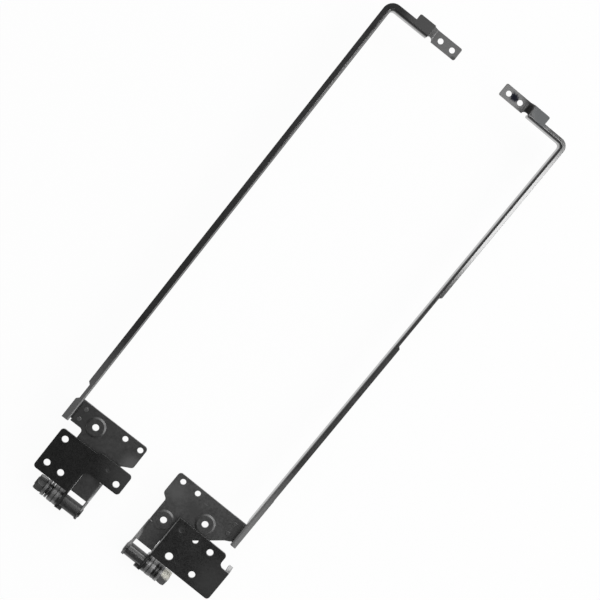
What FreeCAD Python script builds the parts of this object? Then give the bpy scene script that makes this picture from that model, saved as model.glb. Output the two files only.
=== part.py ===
import FreeCAD, Part
import os
import re
import Sketcher
from FreeCAD import Placement, Rotation, Vector

# A pair of laptop display hinges, lying closed with the base leaves on top.
# Each hinge has a frame of its own: x runs from the rail's outer edge towards the screen,
# y from the barrel axis towards the rail's foot, and z up from the axis.
# The right hinge is the left one's mirror image in x, with leaves of its own outline.

SIZES = {
    # How the pair lies
    "pair_spacing": 92.9,
    "right_turn": -1.1,
    # Sheet metal and the levels of the three sheets
    "leaf_sheet": 1.2,
    "rail_sheet": 0.8,
    "bend_inside": 0.5,
    "rail_bend_inside": 0.25,
    "lid_rise": 2.4,
    "leaf_gap": 1.4,
    "rail_rise": 4.6,
    "rail_depth": 6.4,
    "corner_round": 1.6,
    "small_round": 0.8,
    "relief_width": 0.3,
    # Shaft and friction stack, along the axis
    "shaft_body_radius": 3.1,
    "shaft_body_length": 8.4,
    "stop_lug_reach": 4.55,
    "stop_lug_half": 1.9,
    "stop_lug_length": 1.9,
    "shaft_stem_radius": 2.0,
    "shaft_flat_half": 1.55,
    "peen_neck_radius": 1.75,
    "peen_head_radius": 2.35,
    "peen_head_height": 0.35,
    "running_clearance": 0.05,
    "fixed_clearance": 0.02,
    "friction_washer_thick": 1.1,
    "friction_washer_radius": 4.1,
    "stop_washer_thick": 1.35,
    "stop_washer_radius": 4.05,
    "pressure_washer_thick": 1.95,
    "pressure_washer_radius": 4.15,
    "disc_spring_thick": 0.54,
    "disc_spring_cone": 0.18,
    "disc_spring_radius": 4.0,
    "thrust_washer_thick": 1.1,
    "thrust_washer_radius": 4.05,
    "left_nut_length": 4.15,
    "right_nut_length": 3.85,
    "nut_across_corners": 7.6,
    "nut_crown": 0.5,
    "shaft_end_proud": 0.3,
    # Lid leaves, shared
    "left_lid_start": 3.6,
    "right_lid_start": 3.1,
    "lid_top": 40.8,
    "tongue_low": 6.25,
    "tongue_clearance": 0.12,
    "lid_ear_radius": 3.4,
    "lid_ear_span": 16.2,
    "panel_hole_near": 27.25,
    "panel_hole_pitch": 8.1,
    "panel_hole_along": 38.15,
    "panel_hole_radius": 1.3,
    "boss_radius": 4.5,
    "boss_flat_radius": 3.7,
    "boss_height": 0.65,
    "boss_hole_radius": 1.5,
    "rivet_across": 6.2,
    "rivet_along": 32.8,
    "rivet_pitch": 5.05,
    "rivet_radius": 1.05,
    "rivet_head_height": 0.15,
    "rivet_tail_radius": 1.6,
    "rivet_tail_height": 0.4,
    # Left lid leaf
    "left_lid_end": 37.7,
    "left_lid_shoulder": 30.1,
    "left_lid_hip_across": 33.2,
    "left_lid_hip_along": 27.7,
    "left_lid_waist": 25.8,
    "left_lid_arm_low": 30.1,
    "left_lid_neck_across": 10.4,
    "left_lid_neck_low": 25,
    "left_tongue_root": 15.6,
    "left_boss_across": 14.2,
    "left_boss_along": 34.3,
    "left_inner_boss_across": 27.4,
    "left_inner_boss_along": 21.2,
    # Right lid leaf
    "right_lid_end": 39.1,
    "right_lid_shoulder": 29.4,
    "right_lid_waist_across": 36.45,
    "right_lid_waist_along": 27.6,
    "right_lid_arm_low": 30.8,
    "right_lid_curve_across": 5.4,
    "right_lid_curve_along": 29.6,
    "right_tongue_root": 11.8,
    "right_boss_across": 16.4,
    "right_boss_along": 29.8,
    "right_inner_boss_across": 31.5,
    "right_inner_boss_along": 20,
    # Base leaves, shared
    "base_low": 5.2,
    "base_ear_radius": 4.4,
    "base_bend_round": 0.9,
    "case_hole_radius": 1.5,
    "dimple_radius": 0.95,
    "dimple_depth": 0.35,
    # Left base leaf
    "left_ear_face": 22.3,
    "left_base_start": 3.05,
    "left_base_top": 26.2,
    "left_base_step_across": 21.4,
    "left_base_step_run": 2.0,
    "left_base_tab_top": 27.6,
    "left_base_end": 39.7,
    "left_base_tab_low": 17.1,
    "left_base_ear_span": 14,
    "left_hole_across": 7.0,
    "left_hole_high": 22.7,
    "left_hole_low": 10.05,
    "left_hole_pitch": 7.3,
    "left_tab_hole_across": 36.1,
    "left_tab_hole_along": 20.6,
    "left_dimple_across": 29.6,
    "left_dimple_along": 23.7,
    # Right base leaf
    "right_ear_face": 26.9,
    "right_base_top": 25.8,
    "right_base_shoulder_across": 0.6,
    "right_base_shoulder_low": 19.9,
    "right_base_overhang": 5.05,
    "right_base_ear_span": 10.6,
    "right_lip_depth": 0.6,
    "right_hole_across": 7.2,
    "right_hole_high": 22,
    "right_hole_low": 9.6,
    "right_hole_high_pitch": 8.1,
    "right_hole_low_pitch": 12.65,
    "right_small_hole_radius": 1.3,
    "right_wide_hole_radius": 1.72,
    "right_dimple_across": 22.7,
    "right_dimple_along": 21.7,
    "right_lug_width": 2.0,
    "right_lug_reach": 2.9,
    "right_lug_drop": 2.6,
    "notch_round": 2.2,
    # Rails, shared
    "elbow_round": 1.6,
    "rail_tab_reach": 9.0,
    "rail_tab_low": 30.85,
    "rail_tab_top": 40.75,
    "wall_cut": 0.4,
    "wall_cut_past": 2.5,
    "foot_tab_start": 13.7,
    "foot_tab_end": 21.9,
    "jog_run": 2.0,
    "foot_length": 13.1,
    "foot_width": 6.1,
    "foot_hole_start": 3.6,
    "foot_hole_pitch": 6.2,
    "foot_hole_inset": 3.0,
    "foot_hole_radius": 1.27,
    "jog_relief_radius": 1.4,
    "jog_round": 0.7,
    "left_rail_outer": -0.35,
    "left_rail_inner": 3,
    "left_rail_low": 29.7,
    "left_rail_top": 255.45,
    "left_foot_tab_rise": 2.95,
    "left_foot_drop": 3.55,
    "left_notch_depth": 1.15,
    "left_notch_low": 39.5,
    "left_notch_length": 9.3,
    "right_rail_outer": 0.05,
    "right_rail_inner": 2.55,
    "right_rail_low": 30.1,
    "right_rail_top": 254.85,
    "right_foot_tab_rise": 3.5,
    "right_foot_drop": 2.6,
    "right_notch_depth": 0.95,
    "right_notch_low": 141.5,
    "right_notch_length": 28.5,
    "right_wide_step": 0.12,
    "right_wide_length": 26.4,
}

DISC_SPRINGS = 4
SAME_PLACE = 1e-4
CUT_PAST = 1.0

doc = FreeCAD.newDocument("laptop_hinge_pair")
sheet = doc.addObject("Spreadsheet::Sheet", "Sizes")
for row, (alias, number) in enumerate(SIZES.items(), start=1):
    sheet.set(f"A{row}", alias)
    sheet.set(f"B{row}", str(number))
    sheet.setAlias(f"B{row}", alias)
doc.recompute()

pieces = []


# Expressions

def bound(text):
    def qualify(word):
        return "Sizes." + word[0] if word[0] in SIZES else word[0]
    return re.sub(r"[a-z_]+", qualify, text)


def value(text):
    return float(sheet.evalExpression(bound(text)))


def across(side, text):
    return text if side == "left" else f"-({text})"


def low_side(side, near, far):
    return near if side == "left" else f"-({far})"


def bind(item, prop, text):
    item.setExpression(prop, bound(text))


# Levels above the axis, and stations along it

LID_UNDER = "lid_rise"
LID_FACE = "(lid_rise + leaf_sheet)"
BASE_UNDER = "(lid_rise + leaf_sheet + leaf_gap)"
BASE_FACE = "(lid_rise + 2 * leaf_sheet + leaf_gap)"
TAB_UNDER = "(lid_rise - rail_sheet)"
RAIL_FACE = "(lid_rise - rail_sheet + rail_rise)"
RAIL_UNDER = "(lid_rise - 2 * rail_sheet + rail_rise)"
BEND_OUTSIDE_LEAF = "(bend_inside + leaf_sheet)"
BEND_OUTSIDE_RAIL = "(rail_bend_inside + rail_sheet)"
RIVETS_ALONG = ("rivet_along", "rivet_along + rivet_pitch")


def body_end(side):
    return f"({side}_ear_face + running_clearance)"


def lid_ear_inner(side):
    return f"({body_end(side)} + shaft_body_length)"


def lid_ear_outer(side):
    return f"({lid_ear_inner(side)} + leaf_sheet)"


def base_ear_inner(side):
    return f"({side}_ear_face - leaf_sheet)"


def tongue_start(side):
    return f"({side}_ear_face + tongue_clearance)"


# Sketches and features

def new_body(node):
    body = doc.addObject("PartDesign::Body", node)
    body.Label = node
    return body


def new_sketch(body, name, role, offset=None):
    sketch = body.newObject("Sketcher::SketchObject", name)
    plane = [item for item in body.Origin.OriginFeatures if item.Role == role][0]
    sketch.AttachmentSupport = [(plane, "")]
    sketch.MapMode = "FlatFace"
    if offset:
        bind(sketch, "AttachmentOffset.Base.z", offset)
    return sketch


def pin_point(sketch, geometry, point, place):
    for kind, text in zip(("DistanceX", "DistanceY"), place):
        number = sketch.addConstraint(Sketcher.Constraint(kind, -1, 1, geometry, point, value(text)))
        bind(sketch, f"Constraints[{number}]", text)


def draw_outline(sketch, corners):
    first = sketch.GeometryCount
    points = [Vector(value(a), value(b), 0) for a, b in corners]
    count = len(points)
    for index in range(count):
        sketch.addGeometry(Part.LineSegment(points[index], points[(index + 1) % count]))
    for index in range(count):
        following = first + (index + 1) % count
        sketch.addConstraint(Sketcher.Constraint("Coincident", first + index, 2, following, 1))
    for index, corner in enumerate(corners):
        pin_point(sketch, first + index, 1, corner)


def draw_circle(sketch, place, radius):
    centre = Vector(value(place[0]), value(place[1]), 0)
    geometry = sketch.addGeometry(Part.Circle(centre, Vector(0, 0, 1), value(radius)))
    pin_point(sketch, geometry, 3, place)
    number = sketch.addConstraint(Sketcher.Constraint("Radius", geometry, value(radius)))
    bind(sketch, f"Constraints[{number}]", radius)


def pad(body, name, sketch, length):
    feature = body.newObject("PartDesign::Pad", name)
    feature.Profile = sketch
    bind(feature, "Length", length)
    doc.recompute()
    return feature


def plan_pad(body, name, corners, under, thickness):
    sketch = new_sketch(body, name + "_plan", "XY_Plane", under)
    draw_outline(sketch, corners)
    return pad(body, name, sketch, thickness)


def end_pad(body, name, corners, low, high):
    # A section seen along y, drawn at its far end and run back towards the axis
    sketch = new_sketch(body, name + "_section", "XZ_Plane", f"-({high})")
    draw_outline(sketch, corners)
    return pad(body, name, sketch, f"{high} - ({low})")


def side_pad(body, name, corners, start, thickness):
    sketch = new_sketch(body, name + "_profile", "YZ_Plane", start)
    draw_outline(sketch, corners)
    return pad(body, name, sketch, thickness)


def cut_through(body, name, role, circles):
    sketch = new_sketch(body, name + "_circles", role)
    for place, radius in circles:
        draw_circle(sketch, place, radius)
    cut_all(body, name, sketch)


def cut_all(body, name, sketch):
    feature = body.newObject("PartDesign::Pocket", name)
    feature.Profile = sketch
    feature.Type = "ThroughAll"
    feature.SideType = "Symmetric"
    doc.recompute()
    if feature.Shape.Volume >= feature.BaseFeature.Shape.Volume:
        raise RuntimeError(f"{body.Label}: {name} cut nothing")


def edges_at(feature, x=None, y=None, z=None):
    wanted = [None if text is None else value(text) for text in (x, y, z)]
    names = []
    for number, edge in enumerate(feature.Shape.Edges, start=1):
        spots = [vertex.Point for vertex in edge.Vertexes]
        if len(spots) < 2:
            continue
        close = all(goal is None or abs(spot[axis] - goal) < SAME_PLACE
                    for spot in spots for axis, goal in enumerate(wanted))
        if close:
            names.append(f"Edge{number}")
    return names


def fillet(body, name, edges, radius):
    if not edges:
        raise RuntimeError(f"{body.Label}: {name} finds no edge")
    feature = body.newObject("PartDesign::Fillet", name)
    feature.Base = (feature.BaseFeature, edges)
    bind(feature, "Radius", radius)
    doc.recompute()
    return feature


def round_corners(body, name, places, radius):
    edges = [edge for x, y in places for edge in edges_at(body.Tip, x, y)]
    return fillet(body, name, edges, radius)


def finish(item, side):
    pieces.append((item, side))
    return item


# Leaves

def add_ear(body, start, face, low, span, under, leaf_face, radius, bend, lip=None):
    # A flap bent down from the leaf's edge, narrowing to a round end about the axis.
    # Past its span the edge can go on as a shallow lip, given by its end and depth.
    shoulder = "shaft_stem_radius / 2"
    end, depth = lip or (span, "bend_inside")
    profile = [(low, under), (end, under), (end, f"{under} - {depth}")]
    if lip:
        profile.append((span, f"{under} - {depth}"))
    profile += [(radius, shoulder), (radius, f"-{radius}"), (f"-{radius}", f"-{radius}"),
                (f"-{radius}", shoulder)]
    side_pad(body, "ear", profile, start, "leaf_sheet")
    ends = [edge for y in (radius, f"-{radius}") for edge in edges_at(body.Tip, None, y, f"-{radius}")]
    fillet(body, "ear_end", ends, f"0.98 * {radius}")
    outer = [edge for edge in edges_at(body.Tip, face, None, leaf_face)
             if body.Tip.Shape.getElement(edge).CenterOfMass.y < value(end)]
    fillet(body, "ear_bend", outer, bend)


def add_boss(body, name, side, place):
    # A screw boss pressed up out of the sheet: a cone on top and its hollow underneath
    x, y = across(side, place[0]), place[1]
    for kind, part, level, shrink in (("Additive", "rise", LID_FACE, "0"),
                                      ("Subtractive", "hollow", LID_UNDER, "leaf_sheet / 2")):
        cone = body.newObject(f"PartDesign::{kind}Cone", f"{name}_{part}")
        bind(cone, "Radius1", f"boss_radius - {shrink}")
        bind(cone, "Radius2", f"boss_flat_radius - {shrink}")
        bind(cone, "Height", "boss_height")
        bind(cone, "Placement.Base.x", x)
        bind(cone, "Placement.Base.y", y)
        bind(cone, "Placement.Base.z", level)
        doc.recompute()


def lid_outline(side):
    ear, tongue = lid_ear_outer(side), tongue_start(side)
    inset = f"{ear} - {BEND_OUTSIDE_LEAF}"
    relief = "lid_ear_span + relief_width"
    # The ear's bend ends at a small relief cut in the leaf's edge
    bend = [(inset, relief), (inset, "lid_ear_span"), (ear, "lid_ear_span"), (ear, "tongue_low"),
            (tongue, "tongue_low"), (tongue, f"{side}_tongue_root")]
    if side == "left":
        far = [("left_lid_end", "left_lid_shoulder"), ("left_lid_hip_across", "left_lid_hip_along"),
               (ear, "left_lid_waist"), (ear, relief)]
        near = [("left_lid_neck_across", "left_lid_neck_low"),
                ("left_lid_neck_across", "left_lid_arm_low"), ("left_lid_start", "left_lid_arm_low")]
    else:
        far = [("right_lid_end", "right_lid_shoulder"),
               ("right_lid_waist_across", "right_lid_waist_along"), ("right_lid_waist_across", relief)]
        near = [("right_lid_curve_across", "right_lid_curve_along"),
                ("right_lid_start", "right_lid_arm_low")]
    return [(f"{side}_lid_start", "lid_top"), (f"{side}_lid_end", "lid_top")] + far + bend + near


def make_lid_leaf(side):
    body = new_body(f"{side}_lid_leaf")
    ear = lid_ear_outer(side)
    outline = [(across(side, a), b) for a, b in lid_outline(side)]
    plan_pad(body, "plate", outline, LID_UNDER, "leaf_sheet")
    end = f"{side}_lid_end"
    corners = [(across(side, f"{side}_lid_start"), "lid_top"), (across(side, end), "lid_top"),
               (across(side, end), f"{side}_lid_shoulder")]
    if side == "left":
        corners += [(across(side, "left_lid_hip_across"), "left_lid_hip_along"),
                    (across(side, "left_lid_neck_across"), "left_lid_arm_low")]
    else:
        corners += [(across(side, "right_lid_curve_across"), "right_lid_curve_along"),
                    (across(side, "right_lid_waist_across"), "right_lid_waist_along")]
    round_corners(body, "corners", corners, "corner_round")
    start = across(side, lid_ear_inner(side) if side == "left" else ear)
    add_ear(body, start, across(side, ear), "tongue_low", "lid_ear_span",
            LID_UNDER, LID_FACE, "lid_ear_radius", BEND_OUTSIDE_LEAF)
    bosses = [(f"{side}_boss_across", f"{side}_boss_along"),
              (f"{side}_inner_boss_across", f"{side}_inner_boss_along")]
    for number, place in enumerate(bosses, start=1):
        add_boss(body, f"boss_{number}", side, place)
    holes = [((across(side, a), b), "boss_hole_radius") for a, b in bosses]
    for a in ("panel_hole_near", "panel_hole_near + panel_hole_pitch"):
        holes.append(((across(side, a), "panel_hole_along"), "panel_hole_radius"))
    for b in RIVETS_ALONG:
        holes.append(((across(side, "rivet_across"), b), "rivet_radius + fixed_clearance"))
    cut_through(body, "holes", "XY_Plane", holes)
    cut_through(body, "peen_hole", "YZ_Plane", [(("0", "0"), "peen_neck_radius + fixed_clearance")])
    return finish(body, side)


def base_outline(side):
    face, span = f"{side}_ear_face", "left_base_ear_span"
    if side == "left":
        inset, relief = f"{face} - base_bend_round", f"{span} + relief_width"
        return [("left_base_start", "left_base_top"), ("left_base_step_across", "left_base_top"),
                ("left_base_step_across + left_base_step_run", "left_base_tab_top"),
                ("left_base_end", "left_base_tab_top"), ("left_base_end", "left_base_tab_low"),
                (face, "left_base_tab_low"), (face, relief), (inset, relief), (inset, span),
                (face, span), (face, "base_low"), ("left_base_start", "base_low")]
    return [("right_base_shoulder_across", "right_base_top"), (face, "right_base_top"),
            (face, "base_low"), ("-right_base_overhang", "base_low"),
            ("-right_base_overhang", "right_base_shoulder_low"),
            ("right_base_shoulder_across", "right_base_shoulder_low")]


def add_lug(body):
    # A short tab at the outer corner, folded down out of the leaf's plane
    top, low = "right_base_shoulder_low", BASE_UNDER
    profile = [(f"{top} - leaf_sheet", BASE_FACE), (top, BASE_FACE),
               (f"{top} + right_lug_reach", f"{BASE_FACE} - right_lug_drop"),
               (f"{top} + right_lug_reach - leaf_sheet", f"{BASE_FACE} - right_lug_drop - leaf_sheet / 2"),
               (f"{top} - leaf_sheet / 2", low), (f"{top} - leaf_sheet", low)]
    side_pad(body, "lug", profile, "right_base_overhang - right_lug_width", "right_lug_width")


def make_base_leaf(side):
    body = new_body(f"{side}_base_leaf")
    face = f"{side}_ear_face"
    outline = [(across(side, a), b) for a, b in base_outline(side)]
    plan_pad(body, "plate", outline, BASE_UNDER, "leaf_sheet")
    if side == "left":
        sharp = [("left_base_start", "left_base_top"), ("left_base_start", "base_low"),
                 ("left_base_end", "left_base_tab_top"), ("left_base_end", "left_base_tab_low")]
        notch = [("left_ear_face", "left_base_tab_low")]
        lip = None
    else:
        sharp = [(across(side, "right_base_shoulder_across"), "right_base_top"),
                 ("right_base_overhang", "base_low")]
        notch = [(across(side, "right_base_shoulder_across"), "right_base_shoulder_low")]
        lip = ("right_base_top", "right_lip_depth")
    round_corners(body, "corners", sharp, "corner_round")
    round_corners(body, "notch", notch, "notch_round")
    if side == "right":
        add_lug(body)
    start = across(side, base_ear_inner(side) if side == "left" else face)
    add_ear(body, start, across(side, face), "base_low", f"{side}_base_ear_span",
            BASE_UNDER, BASE_FACE, "base_ear_radius", "base_bend_round", lip)
    if side == "left":
        holes = [("left_hole_across", "left_hole_high", "case_hole_radius"),
                 ("left_hole_across", "left_hole_low", "case_hole_radius"),
                 ("left_hole_across + left_hole_pitch", "left_hole_low", "case_hole_radius"),
                 ("left_tab_hole_across", "left_tab_hole_along", "case_hole_radius")]
    else:
        high_far = "right_hole_across + right_hole_high_pitch"
        low_far = "right_hole_across + right_hole_low_pitch"
        holes = [("right_hole_across", "right_hole_high", "case_hole_radius"),
                 (high_far, "right_hole_high", "right_small_hole_radius"),
                 ("right_hole_across", "right_hole_low", "case_hole_radius"),
                 (low_far, "right_hole_low", "right_wide_hole_radius")]
    cut_through(body, "holes", "XY_Plane", [((across(side, a), b), r) for a, b, r in holes])
    cut_through(body, "shaft_hole", "YZ_Plane", [(("0", "0"), "shaft_stem_radius + running_clearance")])
    # The dimple is half sheared: a recess on top and a pip as deep underneath
    for kind, sheet_side in (("Subtractive", BASE_FACE), ("Additive", BASE_UNDER)):
        cylinder = body.newObject(f"PartDesign::{kind}Cylinder", f"dimple_{kind.lower()}")
        bind(cylinder, "Radius", "dimple_radius")
        bind(cylinder, "Height", "dimple_depth")
        bind(cylinder, "Placement.Base.x", across(side, f"{side}_dimple_across"))
        bind(cylinder, "Placement.Base.y", f"{side}_dimple_along")
        bind(cylinder, "Placement.Base.z", f"{sheet_side} - dimple_depth")
        doc.recompute()
    return finish(body, side)


# Rail

def edge_between(feature, first, second):
    ends = [Vector(*(value(text) for text in place)) for place in (first, second)]
    for number, edge in enumerate(feature.Shape.Edges, start=1):
        spots = [vertex.Point for vertex in edge.Vertexes]
        if len(spots) == 2 and any(spots[0].isEqual(a, SAME_PLACE) and spots[1].isEqual(b, SAME_PLACE)
                                   for a, b in (ends, ends[::-1])):
            return f"Edge{number}"
    raise RuntimeError(f"no edge from {ends[0]} to {ends[1]}")


def elbow(body, section, centre, turn):
    # A quarter turn of the rail's section about an upright axis through the corner's centre
    x, y = centre
    sketch = new_sketch(body, "elbow_section", "XZ_Plane", f"-({y})")
    draw_outline(sketch, section)
    axis = sketch.addGeometry(Part.LineSegment(Vector(value(x), 0, 0), Vector(value(x), 1, 0)), True)
    pin_point(sketch, axis, 1, (x, TAB_UNDER))
    pin_point(sketch, axis, 2, (x, RAIL_FACE))
    feature = body.newObject("PartDesign::Revolution", "elbow")
    feature.Profile = sketch
    feature.ReferenceAxis = (sketch, ["Axis0"])
    feature.Angle = 90
    feature.Reversed = turn
    doc.recompute()


def make_rail(side):
    body = new_body(f"{side}_rail")
    outer, inner = f"{side}_rail_outer", f"{side}_rail_inner"
    wall = f"({inner} - rail_sheet)"
    wall_low = f"({RAIL_FACE} - rail_depth)"
    low, top = f"{side}_rail_low", f"{side}_rail_top"
    arm_low = f"({top} - ({inner} - {outer}))"
    bend_x, bend_y = f"({inner} + elbow_round)", f"({arm_low} - elbow_round)"
    foot_low = f"({top} - {side}_foot_drop)"
    foot_tab_top = f"({top} + {side}_foot_tab_rise)"

    def turned(corners):
        return [(across(side, a), b) for a, b in corners]

    # The folded strip: two straight arms and the elbow between them, of one section
    long_section = [(outer, RAIL_FACE), (inner, RAIL_FACE), (inner, wall_low), (wall, wall_low),
                    (wall, RAIL_UNDER), (outer, RAIL_UNDER)]
    end_pad(body, "long_arm", turned(long_section), low, bend_y)
    elbow(body, turned(long_section), (across(side, bend_x), bend_y), side == "left")
    arm_section = [(arm_low, RAIL_FACE), (top, RAIL_FACE), (top, RAIL_UNDER),
                   (f"{arm_low} + rail_sheet", RAIL_UNDER), (f"{arm_low} + rail_sheet", wall_low),
                   (arm_low, wall_low)]
    side_pad(body, "short_arm", arm_section, low_side(side, bend_x, "foot_tab_end"),
             f"foot_tab_end - {bend_x}")
    for name, level, edge_x, edge_y, radius in (
            ("bend_outside", RAIL_FACE, inner, arm_low, BEND_OUTSIDE_RAIL),
            ("bend_inside", RAIL_UNDER, wall, f"({arm_low} + rail_sheet)", "rail_bend_inside")):
        places = [(edge_x, low), (edge_x, bend_y), (bend_x, edge_y), ("foot_tab_end", edge_y)]
        places = [(across(side, a), b, level) for a, b in places]
        fillet(body, name, [edge_between(body.Tip, a, b) for a, b in zip(places, places[1:])], radius)

    # By the leaf the wall is cut short, and its tab is folded in under the leaf
    trim = [(f"{low} - wall_cut_past", wall_low), ("rail_tab_top + wall_cut_past", wall_low),
            ("rail_tab_top + wall_cut", f"{LID_FACE} - wall_cut"),
            (f"{low} - wall_cut_past", f"{LID_FACE} - wall_cut")]
    sketch = new_sketch(body, "wall_cut_profile", "YZ_Plane")
    draw_outline(sketch, trim)
    cut_all(body, "wall_cut", sketch)
    tab_section = [(wall, LID_FACE), (inner, LID_FACE), (inner, LID_UNDER),
                   ("rail_tab_reach", LID_UNDER), ("rail_tab_reach", TAB_UNDER), (wall, TAB_UNDER)]
    end_pad(body, "leaf_tab", turned(tab_section), "rail_tab_low", "rail_tab_top")
    fillet(body, "tab_outside", edges_at(body.Tip, across(side, wall), None, TAB_UNDER), BEND_OUTSIDE_RAIL)
    fillet(body, "tab_inside", edges_at(body.Tip, across(side, inner), None, LID_UNDER), "rail_bend_inside")
    tab_corners = [(across(side, "rail_tab_reach"), b) for b in ("rail_tab_low", "rail_tab_top")]
    round_corners(body, "tab_corners", tab_corners, "small_round")

    arm_middle = f"({top} + {arm_low}) / 2"
    tab_plan = [("foot_tab_start", arm_middle), ("foot_tab_start", foot_tab_top),
                ("foot_tab_end", foot_tab_top), ("foot_tab_end", arm_middle)]
    plan_pad(body, "foot_tab", turned(tab_plan), RAIL_UNDER, "rail_sheet")
    tab_corner = [(across(side, "foot_tab_start"), foot_tab_top)]
    round_corners(body, "foot_tab_corner", tab_corner, "small_round")

    jog_end = "(foot_tab_end + jog_run)"
    jog_start, jog_under = "foot_tab_end - rail_sheet / 2", f"{jog_end} - rail_sheet / 2"
    foot_end, foot_under = f"({jog_end} + foot_length)", f"{LID_FACE} - rail_sheet"
    foot_high = f"({foot_low} + foot_width)"
    foot_section = [("foot_tab_end", RAIL_FACE), (jog_end, LID_FACE), (foot_end, LID_FACE),
                    (foot_end, foot_under), (jog_under, foot_under),
                    (jog_start, RAIL_UNDER), (jog_start, RAIL_FACE)]
    end_pad(body, "foot", turned(foot_section), foot_low, foot_high)
    fillet(body, "jog_foot", edges_at(body.Tip, across(side, jog_end), None, LID_FACE), "jog_round")
    fillet(body, "jog_under", edges_at(body.Tip, across(side, jog_under), None, foot_under), "jog_round")
    foot_corners = [(across(side, foot_end), b) for b in (foot_low, foot_high)]
    round_corners(body, "foot_corners", foot_corners, "small_round")

    first_hole = f"{jog_end} + foot_hole_start"
    holes = [((across(side, a), f"{foot_low} + foot_hole_inset"), "foot_hole_radius")
             for a in (first_hole, f"{first_hole} + foot_hole_pitch")]
    holes.append(((across(side, "foot_tab_end + jog_run / 2"), foot_low), "jog_relief_radius"))
    for b in RIVETS_ALONG:
        holes.append(((across(side, "rivet_across"), b), "rivet_radius + fixed_clearance"))
    cut_through(body, "holes", "XY_Plane", holes)

    if side == "right":
        # Near the leaf the flange is a little wider, with a slanted end
        wide_top = f"{low} + right_wide_length"
        middle, step = f"({inner} + {outer}) / 2", f"{outer} - right_wide_step"
        wide_plan = [(step, low), (middle, low),
                     (middle, f"{wide_top} + {inner} / 2"), (step, wide_top)]
        plan_pad(body, "wide_flange", turned(wide_plan), RAIL_UNDER, "rail_sheet")

    # A stretch of the flange's outer edge is cut away, with slanted ends
    notch = new_sketch(body, "flange_notch_plan", "XY_Plane")
    depth, notch_low = f"{side}_notch_depth", f"{side}_notch_low"
    notch_high = f"{notch_low} + {side}_notch_length"
    past, cut_to = f"{outer} - {depth}", f"{outer} + {depth}"
    draw_outline(notch, turned([(past, f"{notch_low} - {depth}"), (cut_to, f"{notch_low} + {depth}"),
                                (cut_to, f"{notch_high} - {depth}"), (past, f"{notch_high} + {depth}")]))
    cut_all(body, "flange_notch", notch)
    return finish(body, side)


# Barrel: everything on the shaft's axis

def revolve(node, side, section):
    body = new_body(node)
    sketch = new_sketch(body, "section", "XZ_Plane")
    draw_outline(sketch, [(across(side, a), b) for a, b in section])
    feature = body.newObject("PartDesign::Revolution", "turned")
    feature.Profile = sketch
    feature.ReferenceAxis = (sketch, ["H_Axis"])
    feature.Angle = 360
    doc.recompute()
    return body


def stack(side):
    # The stations of the rings from the base ear to the nut, each as (name, start, thickness)
    rings = [("friction_washer", "friction_washer_thick"), ("stop_washer", "stop_washer_thick"),
             ("pressure_washer", "pressure_washer_thick")]
    rings += [(f"disc_spring_{number}", "(disc_spring_thick + disc_spring_cone)")
              for number in range(1, DISC_SPRINGS + 1)]
    rings += [("thrust_washer", "thrust_washer_thick"), ("nut", f"{side}_nut_length")]
    station = f"({base_ear_inner(side)} - running_clearance)"
    places = {}
    for name, thickness in rings:
        station = f"({station} - {thickness})"
        places[name] = (station, thickness)
    return places


def make_shaft(side, places):
    head = f"{lid_ear_outer(side)} + peen_head_height"
    outer, inner, end = lid_ear_outer(side), lid_ear_inner(side), body_end(side)
    tip = f"({places['nut'][0]} - shaft_end_proud)"
    section = [(head, "0"), (head, "peen_head_radius - peen_head_height"), (outer, "peen_head_radius"),
               (outer, "peen_neck_radius"), (inner, "peen_neck_radius"), (inner, "shaft_body_radius"),
               (end, "shaft_body_radius"), (end, "shaft_stem_radius"),
               (f"{tip} + shaft_end_proud", "shaft_stem_radius"),
               (tip, "shaft_stem_radius - shaft_end_proud"), (tip, "0")]
    body = revolve(f"{side}_shaft", side, section)
    # The stop lug stands out beside the base ear, on the side away from the leaves
    lug = [("0", "stop_lug_half"), ("0", "-stop_lug_half"), ("-stop_lug_reach", "-stop_lug_half"),
           ("-stop_lug_reach", "stop_lug_half")]
    side_pad(body, "stop_lug", lug, low_side(side, end, f"{end} + stop_lug_length"), "stop_lug_length")
    tips = [edge for z in ("stop_lug_half", "-stop_lug_half")
            for edge in edges_at(body.Tip, None, "-stop_lug_reach", z)]
    fillet(body, "stop_lug_end", tips, "0.98 * stop_lug_half")
    sketch = new_sketch(body, "flats_section", "XZ_Plane")
    keyed = f"{base_ear_inner(side)} - running_clearance"
    for sign in ("", "-"):
        low, high = f"{sign}shaft_flat_half", f"{sign}(shaft_stem_radius + running_clearance)"
        draw_outline(sketch, [(across(side, a), b) for a, b in
                              ((keyed, low), (keyed, high), (f"{tip} - running_clearance", high),
                               (f"{tip} - running_clearance", low))])
    cut_all(body, "flats", sketch)
    return finish(body, side)


def axial_cylinder(name, side, start, thickness, radius):
    item = doc.addObject("Part::Cylinder", name)
    item.Placement = Placement(Vector(0, 0, 0), Rotation(Vector(0, 1, 0), 90))
    bind(item, "Radius", radius)
    bind(item, "Height", thickness)
    bind(item, "Placement.Base.x", low_side(side, start, f"{start} + {thickness}"))
    return item


def key_hole(name, side, start, thickness):
    # The stem's two flats, with room round them, as one cutting tool
    room = f"({start} - {CUT_PAST})"
    depth = f"({thickness} + {2 * CUT_PAST})"
    round_hole = axial_cylinder(name + "_round", side, room, depth, "shaft_stem_radius + fixed_clearance")
    slot = doc.addObject("Part::Box", name + "_slot")
    bind(slot, "Length", depth)
    bind(slot, "Width", "2 * shaft_body_radius")
    bind(slot, "Height", "2 * (shaft_flat_half + fixed_clearance)")
    bind(slot, "Placement.Base.x", low_side(side, room, f"{room} + {depth}"))
    bind(slot, "Placement.Base.y", "-shaft_body_radius")
    bind(slot, "Placement.Base.z", "-(shaft_flat_half + fixed_clearance)")
    tool = doc.addObject("Part::Common", name + "_key")
    tool.Base = round_hole
    tool.Tool = slot
    return tool


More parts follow.
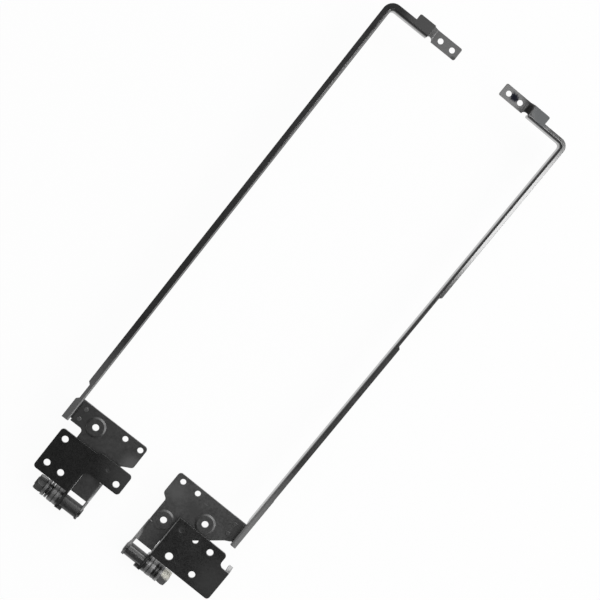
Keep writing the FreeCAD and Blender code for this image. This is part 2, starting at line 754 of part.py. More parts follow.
def make_washer(side, name, place):
    node = f"{side}_{name}"
    start, thickness = place
    washer = doc.addObject("Part::Cut", node)
    washer.Label = node
    washer.Base = axial_cylinder(node + "_disc", side, start, thickness, f"{name}_radius")
    washer.Tool = key_hole(node, side, start, thickness)
    return finish(washer, side)


def make_disc_spring(side, number, place):
    # Coned rings stacked in turn rim to rim and bore to bore
    start, height = place
    bore = "shaft_stem_radius + running_clearance"
    rim_first = number % 2 == 1
    at_bore = start if rim_first else f"{start} + disc_spring_cone"
    at_rim = f"{start} + disc_spring_cone" if rim_first else start
    section = [(at_bore, bore), (f"{at_bore} + disc_spring_thick", bore),
               (f"{at_rim} + disc_spring_thick", "disc_spring_radius"), (at_rim, "disc_spring_radius")]
    return finish(revolve(f"{side}_disc_spring_{number}", side, section), side)


def make_nut(side, place):
    node = f"{side}_nut"
    start, length = place
    prism = doc.addObject("Part::Prism", node + "_hexagon")
    prism.Polygon = 6
    prism.Placement = Placement(Vector(0, 0, 0), Rotation(Vector(0, 1, 0), 90))
    bind(prism, "Circumradius", "nut_across_corners / 2")
    bind(prism, "Height", length)
    bind(prism, "Placement.Base.x", low_side(side, start, f"{start} + {length}"))
    crown = doc.addObject("Part::Sphere", node + "_crown")
    bind(crown, "Radius", f"sqrt(pow(nut_across_corners / 2 - nut_crown; 2) + pow({length} / 2; 2))")
    bind(crown, "Placement.Base.x", across(side, f"{start} + {length} / 2"))
    crowned = doc.addObject("Part::Common", node + "_crowned")
    crowned.Base = prism
    crowned.Tool = crown
    nut = doc.addObject("Part::Cut", node)
    nut.Label = node
    nut.Base = crowned
    room, depth = f"({start} - {CUT_PAST})", f"({length} + {2 * CUT_PAST})"
    nut.Tool = axial_cylinder(node + "_bore", side, room, depth, "shaft_stem_radius + fixed_clearance")
    return finish(nut, side)


def make_rivets(side):
    # Two flush rivets through the lid leaf and the rail's tab, headed over underneath
    node = f"{side}_rail_rivets"
    shapes = []
    for number, along in enumerate(RIVETS_ALONG, start=1):
        shank = doc.addObject("Part::Cylinder", f"{node}_shank_{number}")
        bind(shank, "Radius", "rivet_radius")
        bind(shank, "Height", "leaf_sheet + rail_sheet")
        bind(shank, "Placement.Base.z", TAB_UNDER)
        head = doc.addObject("Part::Cone", f"{node}_head_{number}")
        bind(head, "Radius1", "rivet_radius")
        bind(head, "Radius2", "rivet_radius - rivet_head_height")
        bind(head, "Height", "rivet_head_height")
        bind(head, "Placement.Base.z", LID_FACE)
        tail = doc.addObject("Part::Cone", f"{node}_tail_{number}")
        bind(tail, "Radius1", "rivet_tail_radius - rivet_tail_height / 2")
        bind(tail, "Radius2", "rivet_tail_radius")
        bind(tail, "Height", "rivet_tail_height")
        bind(tail, "Placement.Base.z", f"{TAB_UNDER} - rivet_tail_height")
        for item in (shank, head, tail):
            bind(item, "Placement.Base.x", across(side, "rivet_across"))
            bind(item, "Placement.Base.y", along)
            shapes.append(item)
    rivets = doc.addObject("Part::MultiFuse", node)
    rivets.Label = node
    rivets.Shapes = shapes
    return finish(rivets, side)


def make_hinge(side):
    make_rail(side)
    make_lid_leaf(side)
    make_rivets(side)
    make_base_leaf(side)
    places = stack(side)
    make_shaft(side, places)
    for name in ("friction_washer", "stop_washer", "pressure_washer", "thrust_washer"):
        make_washer(side, name, places[name])
    for number in range(1, DISC_SPRINGS + 1):
        make_disc_spring(side, number, places[f"disc_spring_{number}"])
    make_nut(side, places["nut"])


def lay_pair():
    # Both axes lie one ear radius above the table, and the pair's box is centred on the origin
    turn = Rotation(Vector(0, 0, 1), value("right_turn"))
    lift = value("base_ear_radius")
    stands = {"left": Placement(Vector(0, 0, lift), Rotation()),
              "right": Placement(Vector(value("pair_spacing"), 0, lift), turn)}
    for item, side in pieces:
        item.Placement = stands[side]
    doc.recompute()
    box = FreeCAD.BoundBox()
    for item, side in pieces:
        box.add(item.Shape.BoundBox)
    for item, side in pieces:
        item.Placement.Base = stands[side].Base - Vector(box.Center.x, box.Center.y, box.ZMin)
    doc.recompute()


for hinge_side in ("left", "right"):
    make_hinge(hinge_side)
doc.recompute()
lay_pair()

for item in doc.Objects:
    if {"Invalid", "Error"} & set(item.State):
        raise RuntimeError(f"{item.Label}: {item.State}")
for item, side in pieces:
    if item.Shape.isNull() or not item.Shape.isValid():
        raise RuntimeError(f"{item.Label}: shape is null or not valid")

os.makedirs("parts", exist_ok=True)
for item, side in pieces:
    item.Shape.exportStep(f"parts/{item.Label}.step")
    print(item.Label, len(item.Shape.Solids), "solids", round(item.Shape.Volume, 2), "mm3")
for side in ("left", "right"):
    rail = doc.getObject(f"{side}_rail")
    print(side, "hinge at", tuple(round(number, 4) for number in rail.Placement.Base))
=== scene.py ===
import bpy
import bmesh
from mathutils import Matrix, Vector

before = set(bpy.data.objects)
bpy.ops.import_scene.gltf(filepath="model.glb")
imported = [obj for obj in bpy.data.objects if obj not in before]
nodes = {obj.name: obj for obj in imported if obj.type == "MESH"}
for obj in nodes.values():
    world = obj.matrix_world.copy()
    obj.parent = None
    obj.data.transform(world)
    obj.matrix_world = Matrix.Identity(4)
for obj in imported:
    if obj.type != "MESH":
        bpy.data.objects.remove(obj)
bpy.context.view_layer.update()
scene = bpy.context.scene
print("frame loaded:", len(nodes), "pieces of the hinge pair")


# node helpers

def fillInputs(tree, node, inputs):
    for name, setting in inputs.items():
        if isinstance(setting, bpy.types.NodeSocket):
            tree.links.new(setting, node.inputs[name])
        else:
            node.inputs[name].default_value = setting


def addNode(tree, kind, inputs=None, **settings):
    node = tree.nodes.new(kind)
    for name, setting in settings.items():
        setattr(node, name, setting)
    fillInputs(tree, node, inputs or {})
    return node


def mathNode(tree, operation, first, second=0.0, third=0.0, clamp=False):
    inputs = {0: first, 1: second, 2: third}
    return addNode(tree, "ShaderNodeMath", inputs, operation=operation, use_clamp=clamp).outputs[0]


def vectorNode(tree, operation, first, second=(0, 0, 0)):
    return addNode(tree, "ShaderNodeVectorMath", {0: first, 1: second}, operation=operation).outputs


def noiseNode(tree, place, scale, detail):
    node = addNode(tree, "ShaderNodeTexNoise", {"Vector": place, "Scale": scale, "Detail": detail})
    return node.outputs["Fac"]


def rampNode(tree, source, low, high, bottom=0.0, top=1.0):
    inputs = {"Value": source, "From Min": low, "From Max": high, "To Min": bottom, "To Max": top}
    node = addNode(tree, "ShaderNodeMapRange", inputs, clamp=True, interpolation_type="SMOOTHSTEP")
    return node.outputs["Result"]


def mixTone(tree, mask, first, second):
    node = addNode(tree, "ShaderNodeMix", data_type="RGBA")
    fillInputs(tree, node, {0: mask, 6: first, 7: second})  # sockets 6, 7 and output 2 are the colour ones
    return node.outputs[2]


def newGroup(name, inputs, outputs):
    tree = bpy.data.node_groups.new(name, "ShaderNodeTree")
    for label, kind, default in inputs:
        socket = tree.interface.new_socket(label, in_out="INPUT", socket_type="NodeSocket" + kind)
        if default is not None:
            socket.default_value = default
    for label, kind in outputs:
        tree.interface.new_socket(label, in_out="OUTPUT", socket_type="NodeSocket" + kind)
    return tree, tree.nodes.new("NodeGroupInput").outputs, tree.nodes.new("NodeGroupOutput").inputs


def useGroup(tree, group, inputs):
    node = addNode(tree, "ShaderNodeGroup", node_tree=group)
    fillInputs(tree, node, inputs)
    return node.outputs


def grey(level, warmth=0.0):
    return (level * (1 + warmth), level, level * (1 - warmth), 1.0)


# shared effects, all on millimetre coordinates

skinLook = {"cloudScale": 0.11, "blotchScale": 0.7, "speckScale": 1.8, "contrast": 2.0, "darkest": 0.15,
            "speckHeight": 0.6}


def makeSkinGroup():
    tree, given, out = newGroup("platedSkin",
                                [("Place", "Vector", None), ("Tone", "Color", (0.03, 0.03, 0.03, 1)),
                                 ("Cloud", "Float", 0.3), ("Grain", "Float", 0.2)],
                                [("Color", "Color"), ("Rough Shift", "Float"), ("Height", "Float")])
    cloud = noiseNode(tree, given["Place"], skinLook["cloudScale"], 3.0)
    blotch = noiseNode(tree, given["Place"], skinLook["blotchScale"], 4.0)
    speck = noiseNode(tree, given["Place"], skinLook["speckScale"], 3.0)
    broad = mathNode(tree, "MULTIPLY", mathNode(tree, "SUBTRACT", cloud, 0.5), given["Cloud"])
    middle = mathNode(tree, "MULTIPLY", mathNode(tree, "SUBTRACT", blotch, 0.5), given["Cloud"])
    fine = mathNode(tree, "MULTIPLY", mathNode(tree, "SUBTRACT", speck, 0.5), given["Grain"])
    shift = mathNode(tree, "ADD", mathNode(tree, "ADD", broad, middle), fine)
    gain = mathNode(tree, "MULTIPLY_ADD", shift, skinLook["contrast"], 1.0)
    scaled = addNode(tree, "ShaderNodeVectorMath", {0: given["Tone"]}, operation="SCALE")
    tree.links.new(mathNode(tree, "MAXIMUM", gain, skinLook["darkest"]), scaled.inputs["Scale"])
    tree.links.new(scaled.outputs[0], out["Color"])
    tree.links.new(mathNode(tree, "ADD", middle, fine), out["Rough Shift"])
    tree.links.new(mathNode(tree, "MULTIPLY_ADD", speck, skinLook["speckHeight"], blotch), out["Height"])
    return tree


edgeLook = {"turnFrom": 0.015, "turnTo": 0.16, "patchScale": 0.9, "patchFrom": 0.38, "patchTo": 0.62,
            "leanFrom": (0.02, 0.15), "leanTo": (0.55, 0.85)}


def makeEdgeGroup():
    tree, given, out = newGroup("rubbedEdgesAndSheen",
                                [("Place", "Vector", None), ("Width", "Float", 0.0002),
                                 ("Broken", "Float", 0.5)],
                                [("Mask", "Float"), ("Bend", "Float"), ("Normal", "Vector")])
    rounded = addNode(tree, "ShaderNodeBevel", {"Radius": given["Width"]}, samples=6).outputs[0]
    flat = addNode(tree, "ShaderNodeNewGeometry").outputs["Normal"]
    facing = vectorNode(tree, "DOT_PRODUCT", rounded, flat)["Value"]
    # Mask: the rounded edges, where rubbed plating and a painted edge highlight show
    turned = rampNode(tree, mathNode(tree, "SUBTRACT", 1.0, facing), edgeLook["turnFrom"], edgeLook["turnTo"])
    patch = rampNode(tree, noiseNode(tree, given["Place"], edgeLook["patchScale"], 3.0),
                     edgeLook["patchFrom"], edgeLook["patchTo"])
    keep = mathNode(tree, "SUBTRACT", 1.0, mathNode(tree, "MULTIPLY", given["Broken"], patch))
    own = addNode(tree, "ShaderNodeTexCoord").outputs["Normal"]
    # Bend: faces leaning between flat and upright (the bends) get a pale tone that is partly wear and partly
    # painted sheen
    tilt = mathNode(tree, "ABSOLUTE", addNode(tree, "ShaderNodeSeparateXYZ", {0: own}).outputs["Z"])
    leaning = mathNode(tree, "MULTIPLY", rampNode(tree, tilt, *edgeLook["leanFrom"]),
                       rampNode(tree, tilt, *edgeLook["leanTo"], 1.0, 0.0))
    tree.links.new(mathNode(tree, "MULTIPLY", turned, keep), out["Mask"])
    tree.links.new(mathNode(tree, "MULTIPLY", leaning, keep), out["Bend"])
    tree.links.new(rounded, out["Normal"])
    return tree


scratchLook = {"stretch": (0.09, 2.6, 0.4), "lineFrom": 0.66, "lineTo": 0.74, "spreadScale": 0.16,
               "spreadFrom": 0.45, "spreadTo": 0.65}


def makeScratchGroup():
    tree, given, out = newGroup("handlingScratches",
                                [("Place", "Vector", None), ("Turn", "Float", 0.6), ("Amount", "Float", 0.4)],
                                [("Mask", "Float")])
    turned = addNode(tree, "ShaderNodeVectorRotate", {"Vector": given["Place"], "Angle": given["Turn"]},
                     rotation_type="Z_AXIS").outputs[0]
    drawn = vectorNode(tree, "MULTIPLY", turned, scratchLook["stretch"])[0]
    thin = rampNode(tree, noiseNode(tree, drawn, 1.0, 3.0), scratchLook["lineFrom"], scratchLook["lineTo"])
    where = rampNode(tree, noiseNode(tree, given["Place"], scratchLook["spreadScale"], 2.0),
                     scratchLook["spreadFrom"], scratchLook["spreadTo"])
    spread = mathNode(tree, "MULTIPLY", where, given["Amount"])
    tree.links.new(mathNode(tree, "MULTIPLY", thin, spread), out["Mask"])
    return tree


spotLook = {"tearScale": 1.1, "outerEdge": 1.05}


def makeSpotGroup():
    tree, given, out = newGroup("raggedSpot",
                                [("Place", "Vector", None), ("Centre", "Vector", (0, 0, 0)),
                                 ("Reach", "Vector", (1, 1, 1)), ("Ragged", "Float", 0.4),
                                 ("Soft", "Float", 0.3)],
                                [("Mask", "Float")])
    shifted = vectorNode(tree, "SUBTRACT", given["Place"], given["Centre"])[0]
    scaled = vectorNode(tree, "DIVIDE", shifted, given["Reach"])[0]
    length = addNode(tree, "ShaderNodeVectorMath", {0: scaled}, operation="LENGTH").outputs["Value"]
    torn = mathNode(tree, "SUBTRACT", noiseNode(tree, given["Place"], spotLook["tearScale"], 3.0), 0.5)
    wavy = mathNode(tree, "MULTIPLY_ADD", torn, given["Ragged"], length)
    inner = mathNode(tree, "SUBTRACT", 1.0, given["Soft"])
    tree.links.new(rampNode(tree, wavy, inner, spotLook["outerEdge"], 1.0, 0.0), out["Mask"])
    return tree


skinGroup = makeSkinGroup()
edgeGroup = makeEdgeGroup()
scratchGroup = makeScratchGroup()
spotGroup = makeSpotGroup()
print("shared effects ready")


# black plated sheet and turned steel; a spot is a patch of its own tone, and dull adds to its roughness; some
# spots are painted light or shade, as said at each

perMetre = 1000  # the looks give places in millimetres


def millimetres(tree):
    coords = addNode(tree, "ShaderNodeTexCoord").outputs["Object"]
    mapped = addNode(tree, "ShaderNodeMapping", {"Vector": coords, "Scale": (perMetre, perMetre, perMetre)})
    return mapped.outputs[0]


def startMaterial(name):
    material = bpy.data.materials.new(name)
    material.use_nodes = True
    tree = material.node_tree
    tree.nodes.clear()
    return material, tree


def platedMaterial(name, look):
    material, tree = startMaterial(name)
    shader = addNode(tree, "ShaderNodeBsdfPrincipled", {"Metallic": look["metal"],
                                                        "Specular IOR Level": look["gloss"]})
    place = millimetres(tree)
    skin = useGroup(tree, skinGroup, {"Place": place, "Tone": grey(look["tone"]), "Cloud": look["cloud"],
                                      "Grain": look["grain"]})
    edges = useGroup(tree, edgeGroup, {"Place": place, "Width": look["edgeWidth"],
                                       "Broken": look["edgeBroken"]})
    scratches = useGroup(tree, scratchGroup, {"Place": place, "Turn": look["scratchTurn"],
                                              "Amount": look["scratches"]})
    bareAndSheenTone = grey(look["edgeTone"])  # pale tone where the plating is rubbed thin, which is also a painted highlight on edges and bends
    edgeWearAndSheen = mathNode(tree, "MULTIPLY", edges["Mask"], look["edgeWearAndSheen"])
    # painted sheen on the bends, partly wear
    bendWearAndSheen = mathNode(tree, "MULTIPLY", edges["Bend"], look["bendWearAndSheen"])
    tone = mixTone(tree, edgeWearAndSheen, skin["Color"], bareAndSheenTone)
    tone = mixTone(tree, bendWearAndSheen, tone, bareAndSheenTone)
    tone = mixTone(tree, scratches["Mask"], tone, bareAndSheenTone)
    rough = mathNode(tree, "MULTIPLY_ADD", skin["Rough Shift"], look["roughShift"], look["rough"], clamp=True)
    metal = look["metal"]
    for spot in look.get("spots", []):
        mask = useGroup(tree, spotGroup, {"Place": place, "Centre": spot["centre"], "Reach": spot["reach"],
                                          "Ragged": spot["ragged"], "Soft": spot["soft"]})["Mask"]
        mask = mathNode(tree, "MULTIPLY", mask, spot["strength"])
        tone = mixTone(tree, mask, tone, spot["tone"])
        rough = mathNode(tree, "MULTIPLY_ADD", mask, spot["dull"], rough, clamp=True)
        if "metal" in spot:  # takes the shine off a black spot
            metal = mathNode(tree, "MULTIPLY_ADD", mask, spot["metal"], metal, clamp=True)
            tree.links.new(metal, shader.inputs["Metallic"])
    bump = addNode(tree, "ShaderNodeBump", {"Height": skin["Height"], "Normal": edges["Normal"],
                                            "Strength": look["bump"], "Distance": look["bumpHeight"]})
    fillInputs(tree, shader, {"Base Color": tone, "Roughness": rough, "Normal": bump.outputs[0]})
    addNode(tree, "ShaderNodeOutputMaterial", {"Surface": shader.outputs[0]})
    return material


platedSheet = {"tone": 0.03, "metal": 0.0, "gloss": 1.0, "rough": 0.3, "roughShift": 0.2, "cloud": 0.55,
               "grain": 0.9, "edgeWidth": 0.00018, "edgeBroken": 0.5, "edgeWearAndSheen": 0.5, "edgeTone": 0.14,
               "bendWearAndSheen": 0.3, "scratches": 0.2, "scratchTurn": 0.6, "bump": 0.12, "bumpHeight": 0.00002}
railSheet = dict(platedSheet, rough=0.16, roughShift=0.03, bump=0.01, edgeBroken=0.25, bendWearAndSheen=0.25)
turnedSteel = dict(platedSheet, metal=1.0, roughShift=0.1, grain=0.06, bump=0.03, edgeWearAndSheen=0.3, bendWearAndSheen=0.0)

leftRailLook = dict(railSheet, tone=0.014, cloud=0.7, grain=1.4, spots=[
    {"centre": (-18.45, 127.6, 8.0), "reach": (7.8, 6.2, 4.0), "ragged": 0.1, "soft": 0.1, "strength": 0.9,
     "tone": grey(0.14), "dull": 0.05},  # foot
    {"centre": (-31.5, 129.4, 10.0), "reach": (12.0, 8.5, 6.0), "ragged": 0.2, "soft": 0.7, "strength": 0.9,
     "tone": grey(0.028), "dull": 0.2},  # foot tab and arm
    {"centre": (-47.6, -95.0, 10.0), "reach": (8.0, 46.0, 9.0), "ragged": 0.3, "soft": 0.8, "strength": 0.8,
     "tone": grey(0.13), "dull": 0.1},  # end at the lid leaf, a painted reflection
    {"centre": (-12.8, 125.0, 8.0), "reach": (2.2, 1.6, 6.0), "ragged": 0.5, "soft": 0.6, "strength": 0.9,
     "tone": grey(0.012), "dull": 0.2}])  # dark corner of the foot
# the right rail's tone, paler than the left rail's, is painted reflection from its tilt
rightRailLook = dict(railSheet, tone=0.044, rough=0.09, bendWearAndSheen=0.4, spots=[
    {"centre": (15.5, 128.4, 8.0), "reach": (10.0, 7.0, 6.0), "ragged": 0.1, "soft": 0.6, "strength": 0.9,
     "tone": grey(0.15), "dull": 0.15},  # foot
    {"centre": (33.0, 130.2, 10.0), "reach": (6.6, 5.6, 6.0), "ragged": 0.1, "soft": 0.4, "strength": 0.9,
     "tone": (0.066, 0.072, 0.076, 1), "dull": 0.25},  # foot tab
    {"centre": (17.9, 128.8, 8.0), "reach": (2.6, 2.2, 6.0), "ragged": 0.9, "soft": 0.6, "strength": 1.0,
     "tone": (0.004, 0.006, 0.018, 1), "dull": 0.6, "metal": 0.75},  # dark dab between the foot's holes
    {"centre": (25.9, 128.1, 9.3), "reach": (1.8, 4.6, 6.0), "ragged": 0.2, "soft": 0.55, "strength": 1.0,
     "tone": grey(0.004), "dull": 0.6, "metal": 0.5},  # jog of the foot
    {"centre": (43.0, -95.0, 10.0), "reach": (8.0, 46.0, 9.0), "ragged": 0.3, "soft": 0.8, "strength": 0.8,
     "tone": grey(0.25), "dull": 0.1}])  # end at the lid leaf, a painted reflection
leftLidLook = dict(platedSheet, tone=0.024, rough=0.4, spots=[
    {"centre": (-43.0, -93.0, 8.0), "reach": (9.0, 9.0, 6.0), "ragged": 0.2, "soft": 0.8, "strength": 0.8,
     "tone": grey(0.012), "dull": 0.0},  # dark end at the rail
    {"centre": (-12.5, -96.5, 8.0), "reach": (7.0, 6.5, 6.0), "ragged": 0.2, "soft": 0.8, "strength": 0.9,
     "tone": grey(0.075), "dull": 0.1},  # pale lower corner
    {"centre": (-23.1, -111.0, 8.0), "reach": (2.6, 4.0, 5.0), "ragged": 0.3, "soft": 0.8, "strength": 0.8,
     "tone": grey(0.05), "dull": 0.1},  # tongue beside the base leaf, painted light over its shade
    {"centre": (-17.2, -123.5, 6.0), "reach": (0.95, 9.0, 9.0), "ragged": 0.3, "soft": 0.5, "strength": 0.8,
     "tone": grey(0.4), "dull": 0.1}])  # ear edge, a painted highlight along the bend
rightLidLook = dict(platedSheet, tone=0.037, rough=0.4, spots=[
    {"centre": (20.5, -95.4, 8.0), "reach": (5.0, 4.5, 5.0), "ragged": 0.3, "soft": 0.8, "strength": 0.8,
     "tone": grey(0.026), "dull": 0.0},  # dark middle
    {"centre": (9.5, -93.2, 8.0), "reach": (8.0, 7.0, 5.0), "ragged": 0.3, "soft": 0.9, "strength": 0.8,
     "tone": grey(0.065), "dull": 0.1},  # pale inner end
    {"centre": (23.1, -90.1, 8.0), "reach": (1.7, 0.32, 3.0), "ragged": 0.9, "soft": 0.6, "strength": 0.4,
     "tone": grey(0.14), "dull": 0.1},  # scratch
    {"centre": (8.0, -122.5, 6.0), "reach": (1.6, 9.0, 9.0), "ragged": 0.3, "soft": 0.4, "strength": 0.8,
     "tone": grey(0.4), "dull": 0.1}])  # ear edge, a painted highlight along the bend
leftBaseLook = dict(platedSheet, tone=0.004, gloss=0.65, cloud=1.0, grain=2.2, bendWearAndSheen=0.05, spots=[
    {"centre": (-8.5, -101.5, 10.0), "reach": (20.0, 14.0, 6.0), "ragged": 0.2, "soft": 0.95, "strength": 1.0,
     "tone": grey(0.036), "dull": 0.1},  # pale tab
    {"centre": (-19.2, -103.8, 10.0), "reach": (1.4, 1.4, 4.0), "ragged": 0.3, "soft": 0.6, "strength": 0.6,
     "tone": grey(0.05), "dull": 0.1},  # dimple, painted light over its shade
    {"centre": (-27.0, -114.0, 10.0), "reach": (1.0, 10.0, 4.0), "ragged": 0.2, "soft": 0.4, "strength": 1.0,
     "tone": grey(0.004), "dull": 0.4, "metal": 0.46},  # inner edge, painted shade with the shine taken off
    {"centre": (-27.4, -127.0, 7.0), "reach": (0.8, 5.0, 4.5), "ragged": 0.3, "soft": 0.6, "strength": 0.8,
     "tone": grey(0.035), "dull": 0.2}])  # ear rim
rightBaseLook = dict(platedSheet, tone=0.011, gloss=0.7, cloud=0.9, grain=1.7, edgeTone=0.3, bendWearAndSheen=0.9,
                     spots=[
    {"centre": (46.0, -115.0, 10.0), "reach": (14.0, 14.0, 6.0), "ragged": 0.2, "soft": 0.9, "strength": 0.8,
     "tone": grey(0.03), "dull": 0.1},  # pale outer end
    {"centre": (16.9, -110.6, 10.0), "reach": (0.85, 13.5, 4.0), "ragged": 0.3, "soft": 0.5, "strength": 0.9,
     "tone": grey(0.42), "dull": 0.0},  # pale inner edge, part wear and part painted highlight
    {"centre": (47.5, -104.9, 8.0), "reach": (2.4, 2.6, 5.0), "ragged": 0.2, "soft": 0.5, "strength": 0.7,
     "tone": grey(0.45), "dull": 0.1},  # hook, a painted highlight
    {"centre": (21.2, -105.0, 10.0), "reach": (1.7, 1.7, 4.0), "ragged": 0.3, "soft": 0.5, "strength": 0.6,
     "tone": grey(0.045), "dull": 0.1},  # dimple, painted light over its shade
    {"centre": (17.8, -126.7, 7.0), "reach": (0.5, 4.0, 4.5), "ragged": 0.3, "soft": 0.6, "strength": 0.7,
     "tone": grey(0.14), "dull": 0.1}])  # ear rim
rivetLook = dict(platedSheet, tone=0.06)
leftShaftLook = dict(platedSheet, tone=0.026, gloss=0.6, rough=0.42, grain=1.4, bump=0.04, bendWearAndSheen=0.0)
rightShaftLook = dict(leftShaftLook, tone=0.032, gloss=0.8, rough=0.27, spots=[
    {"centre": (7.0, -126.4, 4.4), "reach": (1.4, 5.0, 6.0), "ragged": 0.4, "soft": 0.5, "strength": 0.9,
     "tone": grey(0.12), "dull": 0.2}])  # peened end
springLook = dict(platedSheet, tone=0.006, grain=0.5, bump=0.04, bendWearAndSheen=0.0)
washerLook = dict(turnedSteel, metal=0.6, tone=0.26, rough=0.4, cloud=0.9, edgeTone=0.5)
# painted shade: the dark line in the gap between two rings
ringGapShade = {"reach": (0.3, 9.0, 9.0), "ragged": 0.2, "soft": 0.5, "strength": 0.9, "tone": grey(0.01),
           "dull": 0.2}
leftWasherLook = dict(washerLook, tone=0.19, spots=[dict(ringGapShade, centre=(-30.6, -127.2, 4.4))])
# rubbed ring edges here are wear and a painted highlight
rightWasherLook = dict(washerLook, edgeWearAndSheen=0.8, edgeTone=0.75, edgeBroken=0.8,
                       spots=[dict(ringGapShade, centre=(20.8, -126.8, 4.4))])
leftNutLook = dict(turnedSteel, metal=0.3, tone=0.05, rough=0.5, edgeTone=0.25, spots=[
    {"centre": (-38.3, -123.2, 6.2), "reach": (3.2, 1.8, 4.0), "ragged": 0.5, "soft": 0.7, "strength": 0.8,
     "tone": grey(0.4), "dull": 0.0}])  # painted light on the flat facing the window lamp
rightNutLook = dict(turnedSteel, metal=0.3, tone=0.1, rough=0.5, edgeTone=0.5, spots=[
    {"centre": (28.6, -124.2, 7.0), "reach": (3.5, 3.2, 4.8), "ragged": 0.6, "soft": 0.5, "strength": 0.95,
     "tone": (0.85, 0.84, 0.74, 1), "dull": 0.0}])  # painted light on the flat facing the window lamp

finishes = {}
for side, rail, lid, base, shaft, nut, ring in (
        ("left", leftRailLook, leftLidLook, leftBaseLook, leftShaftLook, leftNutLook, leftWasherLook),
        ("right", rightRailLook, rightLidLook, rightBaseLook, rightShaftLook, rightNutLook, rightWasherLook)):
    finishes[side + "_rail"] = platedMaterial(side + "RailPlating", rail)
    finishes[side + "_lid_leaf"] = platedMaterial(side + "LidPlating", lid)
    finishes[side + "_base_leaf"] = platedMaterial(side + "BasePlating", base)
    finishes[side + "_rail_rivets"] = platedMaterial(side + "RivetPlating", rivetLook)
    finishes[side + "_shaft"] = platedMaterial(side + "ShaftPlating", shaft)
    finishes[side + "_nut"] = platedMaterial(side + "NutSteel", nut)
    springFinish = platedMaterial(side + "SpringPlating", springLook)
    washerFinish = platedMaterial(side + "WasherSteel", ring)
    for number in range(1, 5):
        finishes[f"{side}_disc_spring_{number}"] = springFinish
    for place in ("stop", "pressure", "thrust"):
        finishes[f"{side}_{place}_washer"] = washerFinish
    finishes[side + "_friction_washer"] = springFinish

for name, node in nodes.items():
    node.data.materials.clear()
    node.data.materials.append(finishes[name])
print("finishes set on", len(finishes), "pieces")


# floor, world and lamps

def seenRays(tree):
    path = addNode(tree, "ShaderNodeLightPath").outputs
    mirrored = mathNode(tree, "MAXIMUM", path["Is Glossy Ray"], path["Is Transmission Ray"])
    return mathNode(tree, "MAXIMUM", path["Is Camera Ray"], mirrored)


floorLook = {"reach": 4.0, "tone": 0.92, "lift": 0.95}


def makeFloor():
    mesh = bpy.data.meshes.new("paperFloor")
    build = bmesh.new()
    bmesh.ops.create_grid(build, x_segments=1, y_segments=1, size=floorLook["reach"])
    build.to_mesh(mesh)
    build.free()
    floor = bpy.data.objects.new("paperFloor", mesh)
    scene.collection.objects.link(floor)
    material, tree = startMaterial("whitePaper")
    paper = addNode(tree, "ShaderNodeBsdfDiffuse", {"Color": grey(floorLook["tone"])})
    white = addNode(tree, "ShaderNodeEmission", {"Color": (1, 1, 1, 1), "Strength": 1.0})
    lift = mathNode(tree, "MULTIPLY", seenRays(tree), floorLook["lift"])
    mixed = addNode(tree, "ShaderNodeMixShader", {0: lift, 1: paper.outputs[0], 2: white.outputs[0]})
    addNode(tree, "ShaderNodeOutputMaterial", {"Surface": mixed.outputs[0]})
    mesh.materials.append(material)


worldLook = {"zenith": 0.18, "horizon": 0.22, "low": 0.1, "high": 0.9, "window": 1.1,
             "windowSide": (0.3, 0.95, 0.0), "windowFrom": 0.2, "windowTo": 0.55, "wallFrom": 0.15,
             "wallTo": 0.25}


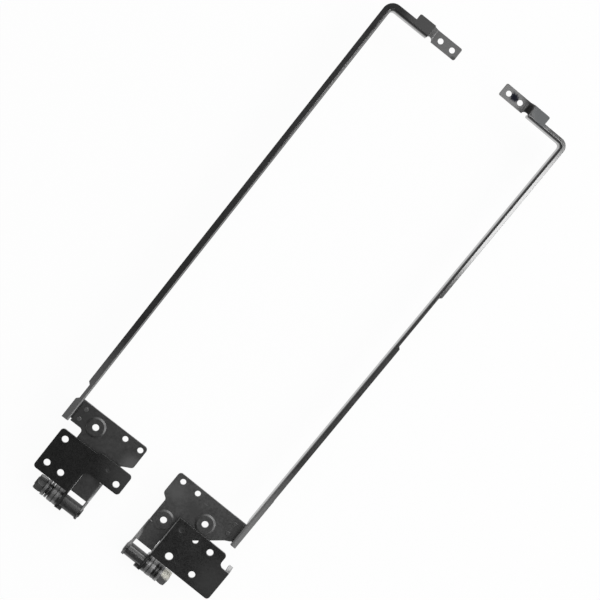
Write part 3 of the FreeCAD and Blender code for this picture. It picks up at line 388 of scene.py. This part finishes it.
def makeWorld():
    world = bpy.data.worlds.new("lightTent")
    scene.world = world
    world.use_nodes = True
    tree = world.node_tree
    tree.nodes.clear()
    direction = addNode(tree, "ShaderNodeTexCoord").outputs["Generated"]
    height = addNode(tree, "ShaderNodeSeparateXYZ", {0: direction}).outputs["Z"]
    sky = rampNode(tree, height, worldLook["low"], worldLook["high"], worldLook["horizon"],
                   worldLook["zenith"])
    toward = vectorNode(tree, "DOT_PRODUCT", direction, worldLook["windowSide"])["Value"]
    window = rampNode(tree, toward, worldLook["windowFrom"], worldLook["windowTo"], 0.0, worldLook["window"])
    level = mathNode(tree, "ADD", sky, window)
    tent = addNode(tree, "ShaderNodeBackground", {"Color": (1, 1, 1, 1), "Strength": level})
    white = addNode(tree, "ShaderNodeBackground", {"Color": (1, 1, 1, 1), "Strength": 1.0})
    wall = rampNode(tree, height, worldLook["wallFrom"], worldLook["wallTo"], 1.0, 0.0)
    seen = mathNode(tree, "MULTIPLY", seenRays(tree), wall)
    mixed = addNode(tree, "ShaderNodeMixShader", {0: seen, 1: tent.outputs[0], 2: white.outputs[0]})
    addNode(tree, "ShaderNodeOutputWorld", {"Surface": mixed.outputs[0]})


lampLooks = {
    "windowLamp": {"place": (0.30, 1.05, 0.45), "size": (1.1, 0.5), "power": 5.5},
    "rightLamp": {"place": (1.05, 0.10, 0.55), "size": (0.9, 0.6), "power": 6.0},
    "overheadPanel": {"place": (0.2, 0.1835, 1.2), "size": (0.13, 0.197), "power": 0.78},
}


def makeLamps():
    for name, look in lampLooks.items():
        data = bpy.data.lights.new(name, "AREA")
        data.shape = "RECTANGLE"
        data.size, data.size_y = look["size"]
        data.energy = look["power"]
        lamp = bpy.data.objects.new(name, data)
        place = Vector(look["place"])
        lamp.location = place
        lamp.rotation_euler = (-place).to_track_quat("-Z", "Y").to_euler()
        scene.collection.objects.link(lamp)


makeFloor()
makeWorld()
makeLamps()
print("floor, world and", len(lampLooks), "lamps ready")


# camera

cameraLook = {"place": (-0.044857, 0.031320, 0.691273), "right": (0.783496, 0.620813, 0.02692),
              "down": (0.617948, -0.782974, 0.071363), "lens": 96.0, "sensor": 36.0, "nearest": 0.01}


def makeCamera():
    data = bpy.data.cameras.new("photoCamera")
    data.sensor_width = cameraLook["sensor"]
    data.lens = cameraLook["lens"]
    data.clip_start = cameraLook["nearest"]
    camera = bpy.data.objects.new("photoCamera", data)
    right = Vector(cameraLook["right"]).normalized()
    up = -Vector(cameraLook["down"]).normalized()
    back = right.cross(up).normalized()
    up = back.cross(right)
    turn = Matrix((right, up, back)).transposed().to_4x4()
    camera.matrix_world = Matrix.Translation(cameraLook["place"]) @ turn
    scene.collection.objects.link(camera)
    scene.camera = camera


makeCamera()
scene.view_settings.view_transform = "Standard"
print("camera ready")
